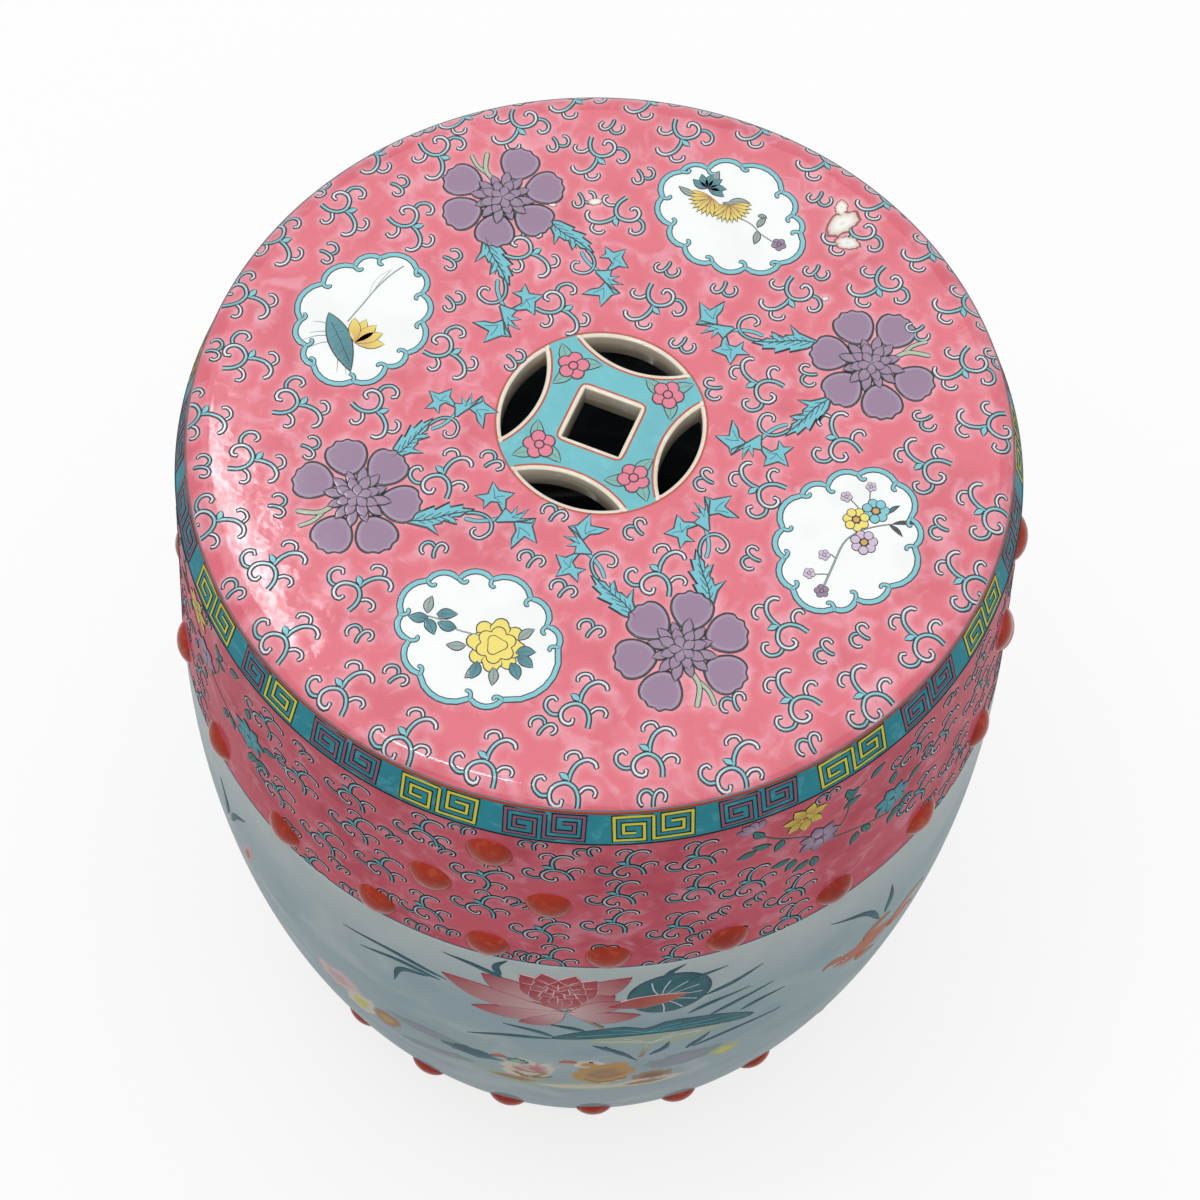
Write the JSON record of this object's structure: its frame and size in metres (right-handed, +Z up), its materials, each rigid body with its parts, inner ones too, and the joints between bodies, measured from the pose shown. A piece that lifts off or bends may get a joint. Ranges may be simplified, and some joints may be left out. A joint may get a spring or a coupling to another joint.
{
  "type": "ceramic garden stool",
  "caption": "Drum-shaped porcelain garden stool with a pierced coin in its flat seat, a swelling wall, raised studs and an open foot.",
  "frame": {"origin": "centre of the foot's lower face, on the floor", "axes": "+Z up the axis of the drum; the seat's lens openings lie along X and Y, and the front crest of studs faces -Y"},
  "size_m": [0.355, 0.355, 0.4605],
  "materials": {
    "seat_enamel": "glossy rose-pink enamel",
    "shoulder_enamel": "glossy darker rose enamel under a turquoise band",
    "belly_glaze": "glossy pale blue-grey glaze with a painted pond",
    "stud_enamel": "glossy coral-red enamel",
    "bare_porcelain": "matt unglazed porcelain"
  },
  "bodies": {
    "root": {"seat_slab": "seat_enamel", "shoulder_wall": "shoulder_enamel", "belly_wall": "belly_glaze", "foot_ring": "bare_porcelain", "seat_coil": "bare_porcelain", "seam_coil": "bare_porcelain", "shoulder_studs": "stud_enamel", "crest_studs": "stud_enamel", "foot_studs": "stud_enamel"}
  },
  "joints": []
}
